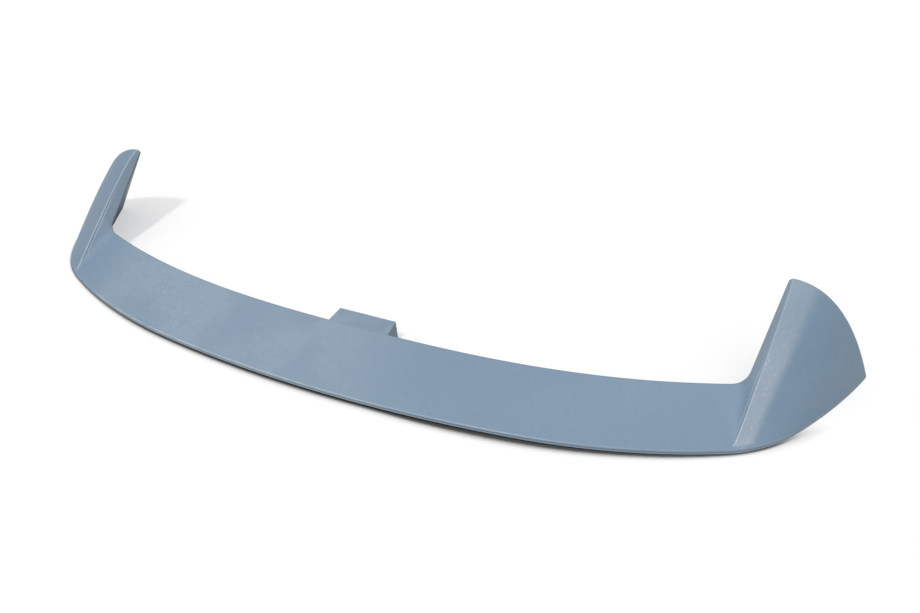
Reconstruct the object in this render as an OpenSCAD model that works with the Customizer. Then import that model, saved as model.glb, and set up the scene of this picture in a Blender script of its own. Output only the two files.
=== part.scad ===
// Car spoiler: one glass-fibre moulding. A crescent blade with a winglet at each end
// and a locating tongue in the middle of its rear edge. Open underneath.
// X runs along the span, Y from the front edge to the rear, Z up. It lies on Z = 0.

/* [Overall] */
// Width over the outer corners of the winglets
span = 1200; // [1000:10:1400]
// Thickness of the moulded skin
skin = 3.2; // [2.6:0.1:3.6]

/* [Front edge] */
// Height of the edge face
edge_face = 4.6; // [4:0.1:7]
// Height of the edge face where it ends at the outer corner
edge_end = 2.4; // [2.2:0.1:4]
// Rounding between the edge face and the top
edge_round = 1.6; // [1:0.1:1.8]
// Gap under the middle of the front edge
edge_lift = 5.2; // [3:0.2:9]
// Distance from the outer corner at which the front edge comes down to the floor, across
touch_inset = 130; // [100:2:200]
// Turn of the middle arc, in degrees
middle_turn = 8.6; // [7:0.2:12]
// Radius of the shoulder arc
shoulder_r = 722; // [600:2:800]
// Direction of the edge where the shoulder arc ends, in degrees
shoulder_turn = 26.8; // [24:0.2:30]
// Radius of the corner arc
corner_r = 181; // [140:1:220]
// Direction of the edge where the corner arc ends, in degrees
corner_turn = 56; // [52:1:60]
// Length of the winglet foot along its arc
foot_len = 158; // [130:2:190]
// Direction of the edge at the outer corner, in degrees
foot_turn = 68; // [65:1:76]

/* [Blade] */
// Depth of the blade in the middle, front to rear
blade_depth = 107; // [90:1:125]
// How far the rear edge sweeps back from the middle to the inner corner
rear_sweep = 64.5; // [50:0.5:80]
// Power of the sweep: the higher it is, the straighter the middle of the rear edge
sweep_power = 2.7; // [2.2:0.1:3.4]
// Height of the rear edge in the middle
rear_h = 27.4; // [22:0.2:36]
// Height of the rear edge at the inner corner
corner_h = 36; // [30:0.5:44]
// Crown of the blade between its front and rear edges
crown = 1.2; // [0:0.1:3]
// Depth of the stiffening lip under the rear edge
lip_drop = 10; // [7:0.5:14]
// Length over which the lip deepens into the winglet's wall
lip_run = 110; // [80:5:160]

/* [Winglets] */
// Distance of the inner corner from the outer corner, across
inner_inset = 136.4; // [125:0.2:150]
// Fillet in the inner corner
inner_fillet = 16; // [10:1:22]
// Distance of the crease foot from the outer corner, across
foot_inset = 131; // [124:1:140]
// Distance of the crease foot behind the front edge
foot_setback = 5.5; // [4.5:0.5:9]
// Distance of the tip from the outer corner, across
tip_inset = 110.6; // [100:0.2:122]
// Height of the tip
tip_h = 116; // [100:1:130]
// Width of the ridge left at the tip
tip_width = 5.2; // [4.6:0.1:7]
// Slope of the ridge's inner side at the tip, in degrees
ridge_slope = 41; // [30:1:50]
// How far in front of the tip the crease starts to turn over
turn_back = 18; // [12:1:30]
// How far the turned crease would rise above the tip
turn_up = 4; // [2:0.5:7]
// How far outside the tip the crease starts to turn over
turn_out = 1.5; // [0:0.5:4]
// How closely the inner face hugs the crease near its foot, so that it leaves the blade smoothly
hug = 6; // [0:0.5:8]
// Depth of the narrow fold that runs along the inner side of the crease
fold_depth = 0.9; // [0:0.1:1.2]
// Width of the fold
fold_width = 4.4; // [3.6:0.2:6]
// Distance of the shoulder of the far rim from the outer corner, across
shoulder_inset = 47.6; // [40:0.2:56]
// Height of the shoulder of the far rim
shoulder_h = 116; // [104:1:126]
// Distance of the outer face's belly from the outer corner, across
belly_inset = 40; // [34:1:50]
// Distance of the belly behind the front edge
belly_back = 192; // [180:1:206]
// Height of the belly
belly_h = 21; // [16:1:30]
// Distance of the inner wall's foot from the outer corner at the far end, across
wall_inset = 42; // [36:1:50]
// Distance of the inner wall's foot from the outer corner at the inner corner, across
wall_start = 106; // [100:1:116]

/* [Tongue] */
// Width of the tongue where it leaves the blade
tongue_w = 86; // [70:1:110]
// Width of the tongue at its far wall
tongue_end_w = 82; // [66:1:106]
// Length of the tongue behind the blade
tongue_len = 26.5; // [18:0.5:34]
// Rise of the tongue's top along its length
tongue_rise = 2.4; // [0:0.2:4]
// Step of the tongue's top below the blade's rear edge
tongue_step = 0.4; // [0.2:0.1:1]
// Depth of the tongue's walls
tongue_drop = 25; // [18:0.5:26]
// Draft of the tongue's side walls, in degrees
tongue_draft = 5; // [1:0.5:7]

/* [Hidden] */

blade_rows = 18;
winglet_rows = 24;
nose_cols = 3;
skin_cols = 8;
face_cols = 7;
wall_cols = 3;

half = span / 2;
last_row = blade_rows + winglet_rows;
skin_end = nose_cols + skin_cols;
face_end = skin_end + face_cols;
last_col = face_end + wall_cols;
ring = 2 * (last_col + 1);
// How far the hollow stays back from the ridge, on each side
ridge_setback = 3;
// Distance behind the front edge of the mesh line that runs into the crease, in the middle
mid_setback = 34;
// Distance of the rear edge's place level with the crease foot from the inner corner, across
start_inset = 40;
// Where the fold is deepest, as a share of its width
fold_bottom = 0.45;
// Shares of the winglet's rows over which the fold deepens from the foot and runs out to the tip
fold_grow = 0.15;
fold_fade = 0.5;

// Front edge in plan: four tangent arcs, the middle one sized by the span
turns = [0, middle_turn, shoulder_turn, corner_turn, foot_turn];
foot_r = foot_len / ((foot_turn - corner_turn) * PI / 180);
function reach(r, i) = r * (sin(turns[i + 1]) - sin(turns[i]));
middle_r = (half - reach(shoulder_r, 1) - reach(corner_r, 2) - reach(foot_r, 3)) / sin(middle_turn);
radii = [middle_r, shoulder_r, corner_r, foot_r];
function x_of_arc(i) = i == 0 ? 0 : x_of_arc(i - 1) + reach(radii[i - 1], i - 1);
function y_of_arc(i) = i == 0 ? 0 : y_of_arc(i - 1) + radii[i - 1] * (cos(turns[i - 1]) - cos(turns[i]));
function l_of_arc(i) = i == 0 ? 0 : l_of_arc(i - 1) + radii[i - 1] * (turns[i] - turns[i - 1]) * PI / 180;
arc_x = [for (i = [0:4]) x_of_arc(i)];
arc_y = [for (i = [0:4]) y_of_arc(i)];
arc_l = [for (i = [0:4]) l_of_arc(i)];
function arc_of(v, ends, i = 0) = i == 3 || v < ends[i + 1] ? i : arc_of(v, ends, i + 1);
function turn_at_x(x) = let (i = arc_of(x, arc_x)) asin(sin(turns[i]) + (x - arc_x[i]) / radii[i]);
function turn_at_len(l) = let (i = arc_of(l, arc_l)) turns[i] + (l - arc_l[i]) / radii[i] * 180 / PI;
function edge_xy(d) = let (i = arc_of(d, turns))
    [arc_x[i] + radii[i] * (sin(d) - sin(turns[i])), arc_y[i] + radii[i] * (cos(turns[i]) - cos(d))];
depth = arc_y[4];
touch_x = half - touch_inset;
function edge_z(x) = edge_lift * max(0, 1 - pow(x / touch_x, 2));

// Row 0 is the middle of the spoiler, row blade_rows the crease foot, last_row the far end
foot_x = half - foot_inset;
foot_d = turn_at_x(foot_x);
foot_arc = arc_of(foot_d, turns);
foot_l = arc_l[foot_arc] + radii[foot_arc] * (foot_d - turns[foot_arc]) * PI / 180;
function tau(j) = max(0, (j - blade_rows) / winglet_rows);
function turn_of(j) = j <= blade_rows
    ? turn_at_x(foot_x * j / blade_rows)
    : turn_at_len(foot_l + (arc_l[4] - foot_l) * min(1, tau(j)));
function edge_low(j) = let (p = edge_xy(turn_of(j))) [p[0], p[1], edge_z(p[0])];
function edge_top(j) = edge_low(j) + [0, 0, edge_face + (edge_end - edge_face) * tau(j)];

// Rear edge, inner corner and tip
corner_x = half - inner_inset;
function rear(x) = [x,
    blade_depth + rear_sweep * pow(abs(x) / corner_x, sweep_power),
    rear_h + (corner_h - rear_h) * pow(x / corner_x, 2)];
inner_corner = rear(corner_x);
tip = [half - tip_inset, depth, tip_h];
tip_in = tip - tip_width * [cos(ridge_slope), 0, sin(ridge_slope)];
function unit(v) = v / norm(v);
function mix(a, b, t) = a + (b - a) * t;
function bez(a, b, c, t) = (1 - t) * (1 - t) * a + 2 * t * (1 - t) * b + t * t * c;
function ease(t) = let (u = max(0, min(1, t))) u * u * (3 - 2 * u);

// Crease from its foot up to the tip
foot_top = edge_top(blade_rows);
crease_dir = [-sin(foot_d), cos(foot_d), 0];
blade_rise = (corner_h - foot_top[2]) / (inner_corner[1] - foot_top[1]);
crease_foot = foot_top + foot_setback * (crease_dir + [0, 0, cos(foot_d) * blade_rise]);
crease_turn = tip + [turn_out, -turn_back, turn_up];
function crease(t) = bez(crease_foot, crease_turn, tip, 1 - sqrt(1 - t));
belly = [half - belly_inset, belly_back, belly_h];
rim_shoulder = [half - shoulder_inset, depth, shoulder_h];
function bulge(t) = bez(crease_foot, belly, rim_shoulder, t);

// Inner edge: along the rear edge, round the fillet, straight up to the tip
fillet_in = rear(corner_x - inner_fillet);
fillet_out = inner_corner + inner_fillet * unit(tip_in - inner_corner);
fillet_mid = bez(fillet_in, inner_corner, fillet_out, 0.5);
start_x = corner_x - start_inset;
// Where the inner edge enters, halves and leaves its fillet, as a share of the winglet's rows
t_in = 0.3;
t_mid = 0.4;
t_out = 0.5;
function inner_edge(j) = let (t = tau(j))
    j <= blade_rows ? rear(start_x * j / blade_rows)
    : t < t_in ? rear(mix(start_x, corner_x - inner_fillet, t / t_in))
    : t < t_out ? bez(fillet_in, inner_corner, fillet_out, (t - t_in) / (t_out - t_in))
    : mix(fillet_out, tip_in, (t - t_out) / (1 - t_out));
function fold(j) = let (t = tau(j), g = inner_edge(j))
    t < t_mid ? mix(crease_foot, fillet_mid, t / t_mid)
    : mix(g, (crease(t) + g) / 2, ease((t - t_mid) / (1 - t_mid)));

// Lower end of the lip, which deepens into the winglet's undercut wall
wall_foot = [half - wall_start, inner_corner[1], 0];
wall_end = [half - wall_inset, depth, 0];
function wall_low(j) = let (g = inner_edge(j), t = tau(j),
        e = ease((g[0] - (corner_x - lip_run)) / (lip_run - inner_fillet)))
    j > blade_rows && t >= t_in ? mix(wall_foot, wall_end, (t - t_in) / (1 - t_in))
    : g + [e * (wall_foot[0] - fillet_in[0]), e * (wall_foot[1] - fillet_in[1]),
        -lip_drop - e * (g[2] - lip_drop)];

// Outer side of one section, from the foot of the front edge to the lower end of the wall
function setback(j) = mix(mid_setback, foot_setback, pow(min(1, j / blade_rows), 2));
function share(j) = setback(j) / norm(inner_edge(j) - edge_top(j));
function crown_at(j) = crown * (1 - pow(min(1, j / blade_rows), 2));
function blade(j, w) = mix(edge_top(j), inner_edge(j), w) + [0, 0, 4 * crown_at(j) * w * (1 - w)];
function hug_at(j) = 2 + hug * pow(max(0, 1 - tau(j) / t_mid), 2);
function skin_at(j, t) = j <= blade_rows
    ? blade(j, share(j) * (1 - (1 - t) * (1 - t)))
    : bez(edge_top(j), bulge(tau(j)), crease(tau(j)), t);
function face_at(j, t) = let (f = fold(j)) j <= blade_rows
    ? blade(j, mix(share(j), 1, t * t))
    : f + pow(1 - t, hug_at(j)) * (crease(tau(j)) - f) + t * t * (inner_edge(j) - f);
// Place across the face that is a small distance w from the crease
function near_crease(j, w) = min(0.4 * w / fold_width, j <= blade_rows
    ? sqrt(w / norm(inner_edge(j) - skin_at(j, 1)))
    : w / norm(fold(j) - crease(tau(j))) / hug_at(j));
function skin_dir(j) = unit(skin_at(j, 0.08) - edge_top(j));
function first_t(j) = edge_round / norm(skin_at(j, 0.5) - edge_top(j)) / 2;
function outer(j) = let (low = edge_low(j), top = edge_top(j), g = inner_edge(j), w = wall_low(j),
        a = top - [0, 0, edge_round], b = top + edge_round * skin_dir(j))
    concat(
        [low, a, bez(a, top, b, 0.5), b],
        [for (i = [1:skin_cols]) skin_at(j, mix(first_t(j), 1, i / skin_cols))],
        [face_at(j, near_crease(j, fold_width * fold_bottom))],
        [for (i = [0:face_cols - 2]) face_at(j, mix(near_crease(j, fold_width), 1, i / (face_cols - 2)))],
        [for (i = [1:wall_cols]) mix(g, w, i / wall_cols)]);
rows = [for (j = [0:last_row]) outer(j)];

// Inner side: every point set in by the skin, with the corners mitred
function flip(p) = [-p[0], p[1], p[2]];
function along(j, i) = j == 0 ? rows[1][i] - flip(rows[1][i])
    : j == last_row ? rows[j][i] - rows[j - 1][i]
    : rows[j + 1][i] - rows[j - 1][i];
function facing(j, i, a, b) = unit(cross(along(j, i), rows[j][b] - rows[j][a]));
function mitre(n, m) = skin * (n + m) / (1 + n * m);
function level(n) = let (h = [n[0], n[1], 0]) skin * h / (h * h);
function corner(j, i) = mitre(facing(j, i, i - 1, i), facing(j, i, i, i + 1));
function ridge_back(j, i, k) = ridge_setback * ease((tau(j) - t_mid) / (1 - t_mid))
    * unit(rows[j][k] - rows[j][i]);
function in_low(j) = rows[j][0] - level(facing(j, 0, 0, 1));
function in_top(j) = edge_top(j) - mitre(facing(j, 0, 0, 1), facing(j, nose_cols, nose_cols, nose_cols + 1));
function in_crease(j) = rows[j][skin_end] - corner(j, skin_end) + ridge_back(j, skin_end, skin_end - 1);
function in_edge(j) = rows[j][face_end] - corner(j, face_end) + ridge_back(j, face_end, last_col);
function in_wall(j) = rows[j][last_col] - level(facing(j, last_col, face_end, last_col));
// A point between two mitred ends, moved along with them in step with its distance
function inset(j, i, s, e, from, to) = let (p = rows[j][i], ps = rows[j][s], pe = rows[j][e],
        w = norm(p - ps) / (norm(p - ps) + norm(p - pe)),
        ds = from - ps + skin * facing(j, s, s, s + 1), de = to - pe + skin * facing(j, e, e - 1, e))
    p - skin * facing(j, i, i - 1, i + 1) + mix(ds, de, w);
function at_end(j, i, p) = j < last_row ? p
    : let (v = along(j, i)) p + v * (depth - p[1]) / v[1];
function inner(j) = let (l = in_low(j), t = in_top(j), k = in_crease(j), g = in_edge(j), w = in_wall(j),
        q = concat(
            [for (i = [0:nose_cols]) mix(l, t, i / nose_cols)],
            [for (i = [1:skin_cols - 1]) inset(j, nose_cols + i, nose_cols, skin_end, t, k)],
            [k],
            [for (i = [1:face_cols - 1]) inset(j, skin_end + i, skin_end, face_end, k, g)],
            [g],
            [for (i = [1:wall_cols]) mix(g, w, i / wall_cols)]))
    [for (i = [0:last_col]) at_end(j, i, q[i])];
// The fold is cut into the outer side alone
fold_col = skin_end + 1;
function fold_at(j) = fold_depth * ease(tau(j) / fold_grow) * (1 - ease((tau(j) - t_mid) / fold_fade));
function folded(j) = [for (i = [0:last_col])
    rows[j][i] - (i == fold_col ? fold_at(j) * facing(j, i, i - 1, i + 1) : [0, 0, 0])];
half_rings = [for (j = [0:last_row]) let (a = folded(j), b = inner(j))
    concat(a, [for (i = [last_col:-1:0]) b[i]])];
shell_points = [for (r = [-last_row:last_row]) each
    r < 0 ? [for (p = half_rings[-r]) flip(p)] : half_rings[r]];
function at(r, k) = (r + last_row) * ring + k % ring;
shell_faces = concat(
    [for (r = [-last_row:last_row - 1], k = [0:ring - 1]) each r < 0
        ? [[at(r, k), at(r, k + 1), at(r + 1, k)], [at(r + 1, k), at(r, k + 1), at(r + 1, k + 1)]]
        : [[at(r, k), at(r + 1, k + 1), at(r + 1, k)], [at(r, k), at(r, k + 1), at(r + 1, k + 1)]]],
    [for (k = [0:last_col - 1]) each let (a = at(-last_row, k), b = at(-last_row, k + 1),
            c = at(-last_row, ring - 2 - k), d = at(-last_row, ring - 1 - k))
        [[a, c, b], [a, d, c]]],
    [for (k = [0:last_col - 1]) each let (a = at(last_row, k), b = at(last_row, k + 1),
            c = at(last_row, ring - 2 - k), d = at(last_row, ring - 1 - k))
        [[a, b, c], [a, c, d]]]);

module shell() {
    polyhedron(shell_points, shell_faces);
}

// Tongue: a box with flat walls, open below and towards the blade
tongue_bite = skin * 0.75;
// How far the hollow is cut past an open side
overcut = 1;
tongue_top = rear_h - tongue_step;
tongue_low = tongue_top - tongue_drop;
tongue_taper = (tongue_w - tongue_end_w) / 2 / tongue_len;
function tongue_half(y, z) = tongue_w / 2 - tongue_taper * (y - blade_depth)
    + (tongue_top - z) * tan(tongue_draft);
function tongue_z(y) = tongue_top + tongue_rise / tongue_len * (y - blade_depth);
function tongue_quad(y, z0, z1, wall) = [
    [-tongue_half(y, z0) + wall, y, z0], [tongue_half(y, z0) - wall, y, z0],
    [tongue_half(y, z1) - wall, y, z1], [-tongue_half(y, z1) + wall, y, z1]];
module tongue_block(y0, y1, low, wall) {
    polyhedron(
        concat(
            tongue_quad(y0, low, tongue_z(y0) - wall, wall),
            tongue_quad(y1, low, tongue_z(y1) - wall, wall)),
        [[3, 2, 1, 0], [4, 5, 6, 7], [1, 5, 4, 0], [2, 6, 5, 1], [3, 7, 6, 2], [0, 4, 7, 3]]);
}
module tongue() {
    difference() {
        tongue_block(blade_depth - tongue_bite, blade_depth + tongue_len, tongue_low, 0);
        tongue_block(blade_depth - tongue_bite - overcut, blade_depth + tongue_len - skin,
            tongue_low - overcut, skin);
    }
}

module spoiler() {
    color([0.60, 0.67, 0.73])
    translate([0, -depth / 2, 0]) {
        shell();
        tongue();
    }
}

spoiler();
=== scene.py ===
"""Car spoiler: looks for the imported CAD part, in its frame.

The blade, both winglets and the tongue are one moulding. The script builds one finer mesh of the
same form, with the small roundings that the light shows, and gives it a satin gelcoat.
"""

import logging
import math
from dataclasses import dataclass
from enum import Enum

import bpy
import numpy as np
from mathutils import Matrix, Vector
from mathutils.kdtree import KDTree


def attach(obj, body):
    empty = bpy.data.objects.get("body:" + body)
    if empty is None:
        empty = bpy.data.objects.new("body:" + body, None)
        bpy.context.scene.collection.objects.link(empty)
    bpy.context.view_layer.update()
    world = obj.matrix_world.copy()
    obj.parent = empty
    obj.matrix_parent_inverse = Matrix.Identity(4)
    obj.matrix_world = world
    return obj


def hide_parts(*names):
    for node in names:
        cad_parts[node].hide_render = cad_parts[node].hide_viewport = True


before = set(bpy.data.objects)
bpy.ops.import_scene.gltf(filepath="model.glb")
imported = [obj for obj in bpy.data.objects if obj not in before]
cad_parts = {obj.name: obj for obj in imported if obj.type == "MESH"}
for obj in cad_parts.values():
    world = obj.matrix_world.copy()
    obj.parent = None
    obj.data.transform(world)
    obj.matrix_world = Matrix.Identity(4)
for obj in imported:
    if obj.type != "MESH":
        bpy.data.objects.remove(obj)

log = logging.getLogger("spoiler")
Array = np.ndarray
Object = bpy.types.Object
Node = bpy.types.Node
Tree = bpy.types.NodeTree
Socket = bpy.types.NodeSocket
Span = tuple[float, float]
Triple = tuple[float, float, float]
Faces = list[tuple[int, ...]]
MM = 0.001
TINY = 1e-9
MIRROR = np.array([-1.0, 1.0, 1.0])
UP = np.array([0.0, 0.0, 1.0])


class Slot(Enum):
    """Names of material slots."""

    GELCOAT = "gelcoat"


class Using(Enum):
    """What a boolean step does with the other object."""

    ADD = "UNION"
    CUT = "DIFFERENCE"


class Kind(Enum):
    """What a Mix node mixes."""

    COLOUR = "RGBA"
    NUMBER = "FLOAT"


class Band(Enum):
    """The four strips of a section, from the foot of the front edge round to the rear wall."""

    NOSE = 0
    SKIN = 1
    FACE = 2
    WALL = 3


def unit(v: Array) -> Array:
    """Scales vectors, in the last axis, to length one."""
    return v / np.maximum(np.linalg.norm(v, axis=-1, keepdims=True), TINY)


def mix(a: Array, b: Array, t: Array) -> Array:
    """Blends a, at t 0, into b, at t 1."""
    return a + (b - a) * t


def bezier(a: Array, b: Array, c: Array, t: Array) -> Array:
    """A quadratic curve from a to c that leaves and arrives towards b, at places t from 0 to 1."""
    return (1 - t) ** 2 * a + 2 * t * (1 - t) * b + t**2 * c


def ease(t: Array) -> Array:
    """A smooth step: 0 below 0, 1 above 1, and a smooth rise between."""
    u = np.clip(t, 0.0, 1.0)
    return u * u * (3 - 2 * u)


def lengths(line: Array) -> Array:
    """Lengths from the start of a line to each of its points."""
    return np.concatenate([[0.0], np.cumsum(np.linalg.norm(np.diff(line, axis=0), axis=1))])


def along(line: Array, reached: Array, at: Array) -> Array:
    """Values of a line, whose points lie at the lengths in reached, at other lengths."""
    return np.stack([np.interp(at, reached, column) for column in line.T], -1)


@dataclass(frozen=True)
class FrontEdge:
    """The front edge in plan: four tangent arcs, the middle one sized by the span. In mm and degrees."""

    half_span: float = 600.0
    middle_turn: float = 8.6
    shoulder_r: float = 722.0
    shoulder_turn: float = 26.8
    corner_r: float = 181.0
    corner_turn: float = 56.0
    foot_len: float = 158.0
    foot_turn: float = 68.0
    face: float = 4.6
    face_end: float = 2.4
    lift: float = 5.2
    touch_inset: float = 130.0

    def turns(self) -> Array:
        """Directions of the edge at the five ends of its arcs, in radians."""
        return np.radians([0.0, self.middle_turn, self.shoulder_turn, self.corner_turn, self.foot_turn])

    def radii(self) -> Array:
        """Radii of the four arcs.

        Returns:
            Four lengths, the first one filling what the others leave of the half span.
        """
        t = self.turns()
        foot = self.foot_len / (t[4] - t[3])
        outer = np.array([self.shoulder_r, self.corner_r, foot])
        rest = self.half_span - float((outer * np.diff(np.sin(t[1:]))).sum())
        return np.concatenate([[rest / math.sin(t[1])], outer])

    def ends(self) -> tuple[Array, Array, Array]:
        """Distances across, back and along the edge at the five ends of its arcs."""
        t, r = self.turns(), self.radii()
        return tuple(np.concatenate([[0.0], np.cumsum(r * np.diff(v))]) for v in (np.sin(t), -np.cos(t), t))

    def turn_at(self, x: Array) -> Array:
        """Direction of the edge in radians, at distances across from the middle."""
        return np.arcsin(np.interp(x, self.ends()[0], np.sin(self.turns())))

    def point(self, turn: Array) -> Array:
        """Point of the edge that has a direction, with the edge's gap over the floor.

        Args:
            turn: directions in radians.

        Returns:
            Points at the foot of the edge face.
        """
        across, back, _ = self.ends()
        x = np.interp(np.sin(turn), np.sin(self.turns()), across)
        y = np.interp(-np.cos(turn), -np.cos(self.turns()), back)
        z = self.lift * np.maximum(0.0, 1 - (x / (self.half_span - self.touch_inset)) ** 2)
        return np.stack([x, y, z], -1)


@dataclass(frozen=True)
class Form:
    """Sizes of the blade and the winglets, in millimetres, as in the CAD source."""

    edge: FrontEdge = FrontEdge()
    skin: float = 3.2
    blade_depth: float = 107.0
    rear_sweep: float = 64.5
    sweep_power: float = 2.7
    rear_h: float = 27.4
    corner_h: float = 36.0
    crown: float = 1.2
    lip_drop: float = 10.0
    lip_run: float = 110.0
    inner_inset: float = 136.4
    inner_fillet: float = 16.0
    foot_inset: float = 131.0
    foot_setback: float = 5.5
    mid_setback: float = 34.0
    tip_inset: float = 110.6
    tip_h: float = 116.0
    tip_width: float = 5.2
    turn_back: float = 18.0
    turn_up: float = 4.0
    turn_out: float = 1.5
    ridge_slope: float = 41.0
    hug: float = 6.0
    hug_least: float = 2.0
    fold_depth: float = 0.9
    fold_width: float = 4.4
    shoulder_inset: float = 47.6
    shoulder_h: float = 116.0
    belly_inset: float = 40.0
    belly_back: float = 192.0
    belly_h: float = 21.0
    wall_inset: float = 42.0
    wall_start: float = 106.0
    start_inset: float = 40.0
    ridge_setback: float = 3.0
    fold_bottom: float = 0.45
    fold_grow: float = 0.15
    fold_fade: float = 0.5
    tau_in: float = 0.3
    tau_mid: float = 0.4
    tau_out: float = 0.5

    @property
    def depth(self) -> float:
        """Depth of the whole moulding, from the front edge's middle to the far ends."""
        return float(self.edge.ends()[1][-1])

    @property
    def corner_x(self) -> float:
        """Place of the inner corner, across from the middle."""
        return self.edge.half_span - self.inner_inset

    def rear(self, x: Array) -> Array:
        """Rear edge of the blade.

        Args:
            x: places across from the middle.

        Returns:
            Points of the edge.
        """
        u = np.abs(x) / self.corner_x
        y = self.blade_depth + self.rear_sweep * u**self.sweep_power
        return np.stack([x * np.ones_like(u), y, mix(self.rear_h, self.corner_h, u**2)], -1)


@dataclass
class Sections:
    """The moulding's sections on one side, as curves between named lines."""

    form: Form
    blade_rows: int = 96
    winglet_rows: int = 96

    def __post_init__(self) -> None:
        """Places the lines that the sections run between."""
        j = np.arange(self.blade_rows + self.winglet_rows + 1)
        self.across = np.minimum(j / self.blade_rows, 1.0)
        self.tau = np.clip((j - self.blade_rows) / self.winglet_rows, 0.0, 1.0)
        self._front()
        self._winglet()
        self._rear()
        self._fold()
        self._wall()
        self._shares()

    def _front(self) -> None:
        """Foot and top of the front edge's face, and the crease's foot behind it."""
        f, e = self.form, self.form.edge
        foot_x = e.half_span - f.foot_inset
        foot_turn, turns, reached = e.turn_at(foot_x), e.turns(), e.ends()[2]
        length = mix(np.interp(foot_turn, turns, reached), reached[-1], self.tau)
        on_winglet = np.interp(length, reached, turns)
        self.low = e.point(np.where(self.tau > 0, on_winglet, e.turn_at(foot_x * self.across)))
        self.top = self.low + UP * mix(e.face, e.face_end, self.tau)[:, None]
        self.corner = f.rear(np.array(f.corner_x))
        foot = self.top[self.blade_rows]
        rise = (f.corner_h - foot[2]) / (self.corner[1] - foot[1])
        lean = np.array([-math.sin(foot_turn), math.cos(foot_turn), math.cos(foot_turn) * rise])
        self.crease_foot = foot + f.foot_setback * lean

    def _winglet(self) -> None:
        """Crease, inner end of the tip, and the outer face's bulge."""
        f, span = self.form, self.form.edge.half_span
        tip = np.array([span - f.tip_inset, f.depth, f.tip_h])
        slope = math.radians(f.ridge_slope)
        self.tip_in = tip - f.tip_width * np.array([math.cos(slope), 0.0, math.sin(slope)])
        turned = tip + np.array([f.turn_out, -f.turn_back, f.turn_up])
        tau = self.tau[:, None]
        self.crease = bezier(self.crease_foot, turned, tip, 1 - np.sqrt(1 - tau))
        belly = np.array([span - f.belly_inset, f.belly_back, f.belly_h])
        rim = np.array([span - f.shoulder_inset, f.depth, f.shoulder_h])
        self.bulge = bezier(self.crease_foot, belly, rim, tau)

    def _rear(self) -> None:
        """Rear edge of the blade, its filleted corner, and the winglet's inner edge."""
        f, tau = self.form, self.tau[:, None]
        self.fillet_in = f.rear(np.array(f.corner_x - f.inner_fillet))
        fillet_out = self.corner + f.inner_fillet * unit(self.tip_in - self.corner)
        start_x = f.corner_x - f.start_inset
        beyond = mix(start_x, f.corner_x - f.inner_fillet, np.minimum(self.tau / f.tau_in, 1))
        on_rear = f.rear(np.where(self.tau > 0, beyond, start_x * self.across))
        share = (tau - f.tau_in) / (f.tau_out - f.tau_in)
        in_fillet = bezier(self.fillet_in, self.corner, fillet_out, share)
        on_winglet = mix(fillet_out, self.tip_in, (tau - f.tau_out) / (1 - f.tau_out))
        self.inner_edge = np.where(tau < f.tau_in, on_rear, np.where(tau < f.tau_out, in_fillet, on_winglet))
        self.middle = bezier(self.fillet_in, self.corner, fillet_out, 0.5)

    def _fold(self) -> None:
        """Line that the inner face hugs, and the depth of the fold beside the crease."""
        f, tau = self.form, self.tau[:, None]
        between = (self.crease + self.inner_edge) / 2
        above = mix(self.inner_edge, between, ease((tau - f.tau_mid) / (1 - f.tau_mid)))
        self.fold = np.where(tau < f.tau_mid, mix(self.crease_foot, self.middle, tau / f.tau_mid), above)
        self.fold_depth = f.fold_depth * ease(self.tau / f.fold_grow)
        self.fold_depth = self.fold_depth * (1 - ease((self.tau - f.tau_mid) / f.fold_fade))

    def _wall(self) -> None:
        """Foot of the stiffening lip and of the winglet's inner wall."""
        f, g, tau = self.form, self.inner_edge, self.tau[:, None]
        foot = np.array([f.edge.half_span - f.wall_start, self.corner[1], 0.0])
        end = np.array([f.edge.half_span - f.wall_inset, f.depth, 0.0])
        grow = ease((g[:, 0] - (f.corner_x - f.lip_run)) / (f.lip_run - f.inner_fillet))[:, None]
        drop = -f.lip_drop - grow * (g[:, 2:] - f.lip_drop)
        lip = g + np.concatenate([grow * (foot - self.fillet_in)[:2], drop], 1)
        wall = mix(foot, end, (tau - f.tau_in) / (1 - f.tau_in))
        self.wall_low = np.where(tau < f.tau_in, lip, wall)

    def _shares(self) -> None:
        """How far each section's front strip reaches, its crown, and how its inner face hugs."""
        f = self.form
        setback = mix(f.mid_setback, f.foot_setback, self.across**2)
        share = setback / np.linalg.norm(self.inner_edge - self.top, axis=-1)
        crowned = f.crown * (1 - self.across**2)
        hug = f.hug_least + f.hug * np.maximum(0.0, 1 - self.tau / f.tau_mid) ** 2
        self.share, self.crowned, self.hug = (v[:, None, None] for v in (share, crowned, hug))

    def fold_at(self, distance: Array) -> Array:
        """Depth of the narrow fold on the inner side of the crease.

        Args:
            distance: distances from the crease across the face, by row and column.

        Returns:
            Depths of the same shape.
        """
        f = self.form
        bottom = f.fold_bottom * f.fold_width
        shape = ease(distance / bottom) * (1 - ease((distance - bottom) / (f.fold_width - bottom)))
        return self.fold_depth[:, None] * shape

    def _blade(self, w: Array) -> Array:
        """Points of the blade at shares w of the way to its rear edge, with the crown's parabola."""
        flat = mix(self.top[:, None], self.inner_edge[:, None], w)
        return flat + UP * 4 * self.crowned * w * (1 - w)

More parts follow.
